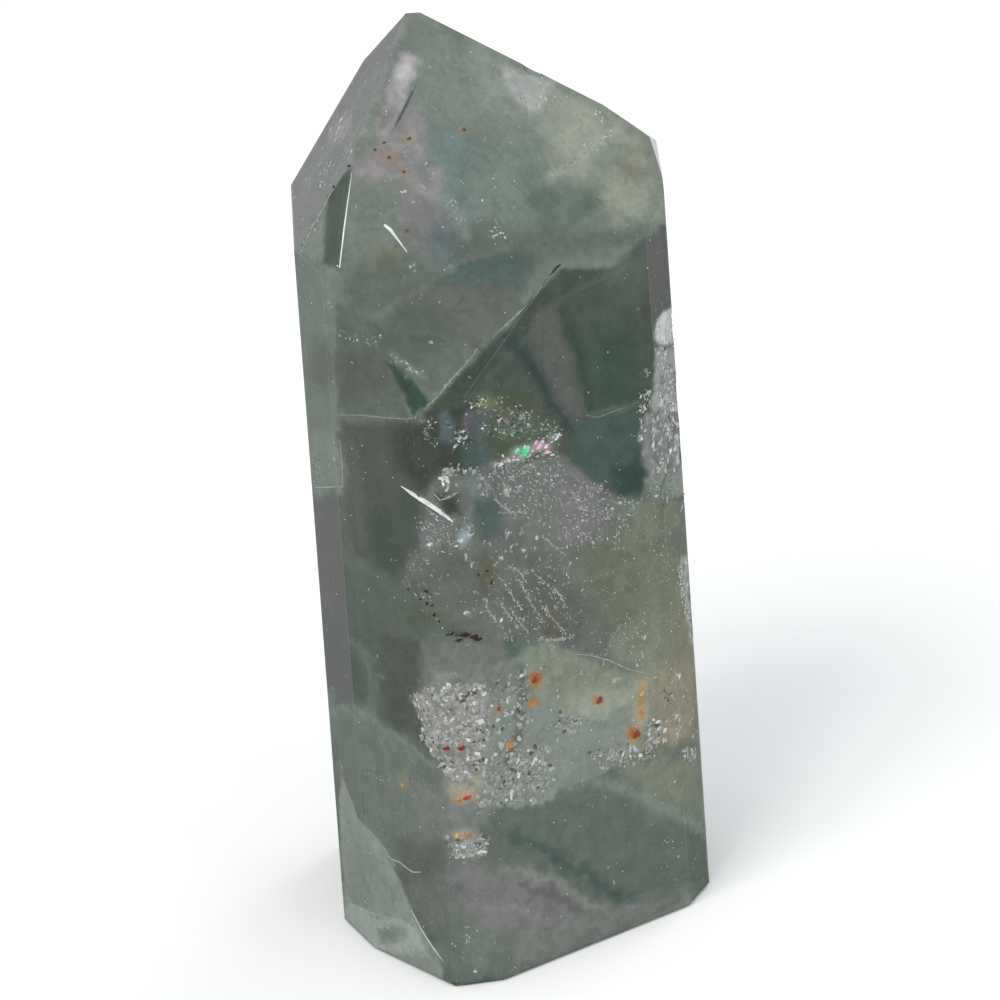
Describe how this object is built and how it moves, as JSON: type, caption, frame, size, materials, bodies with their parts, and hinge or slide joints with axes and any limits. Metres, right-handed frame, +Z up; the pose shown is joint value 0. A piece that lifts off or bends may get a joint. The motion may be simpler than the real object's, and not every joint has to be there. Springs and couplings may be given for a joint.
{
  "type": "fluorite point",
  "caption": "Hand-cut crystal tower with flat polished sides and a faceted off-centre tip, standing on its flat base.",
  "frame": {"origin": "middle of the flat base, on the surface that the point stands on", "axes": "+Z up along the sides towards the tip, -Y out of the narrow front facet, +X to the chipped right-hand edge"},
  "size_m": [0.0306, 0.0358, 0.0797],
  "materials": {
    "fluorite": "polished, cloudy green and grey-purple fluorite with cleavage cracks and rust-brown spots"
  },
  "bodies": {
    "root": {"fluorite_point": "fluorite"}
  },
  "joints": []
}
